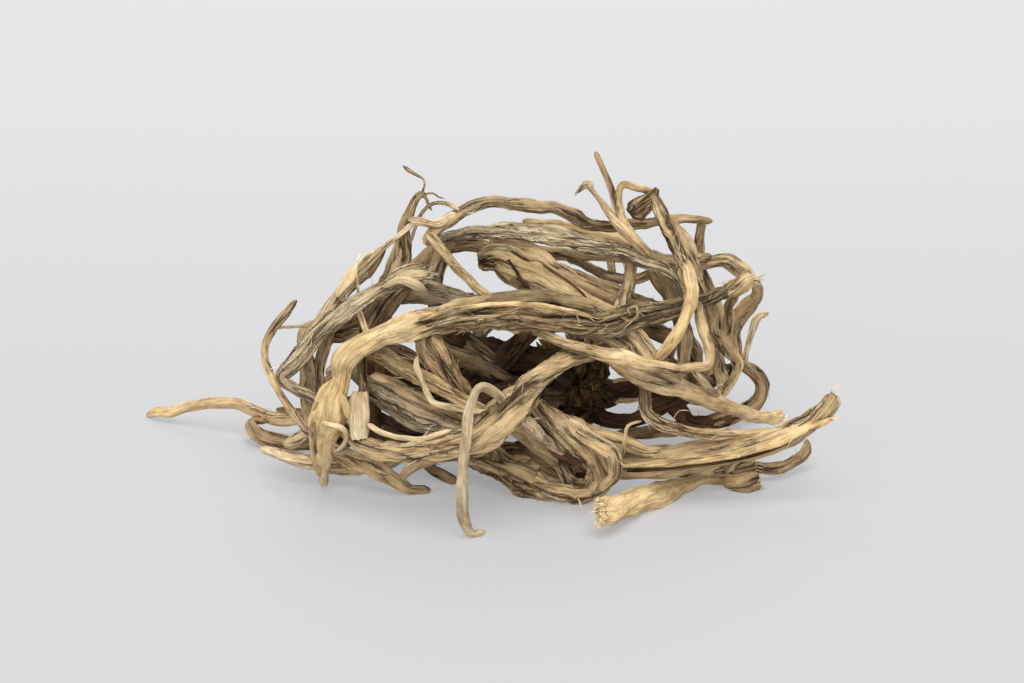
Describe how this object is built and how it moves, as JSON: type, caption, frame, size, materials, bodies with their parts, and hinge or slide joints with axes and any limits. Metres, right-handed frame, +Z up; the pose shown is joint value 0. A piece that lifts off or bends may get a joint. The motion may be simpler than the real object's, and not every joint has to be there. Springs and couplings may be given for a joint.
{
  "type": "dried root clump",
  "caption": "Dried shatavari root clump: shrivelled, ridged roots grown from one brown crown and curled over each other into a low, open mound. Herb or display piece.",
  "frame": {"origin": "Bottom centre of the bounding box: the level the clump rests on, under the middle of its width and depth.", "axes": "+Z up from the surface; +X along the clump's width, to the right in the picture; +Y to the back, away from the picture's viewer."},
  "size_m": [0.1724, 0.1094, 0.0707],
  "materials": {
    "dried_root": "dry, matte, wrinkled"
  },
  "bodies": {
    "root": {"root_clump": "dried_root"}
  },
  "joints": []
}
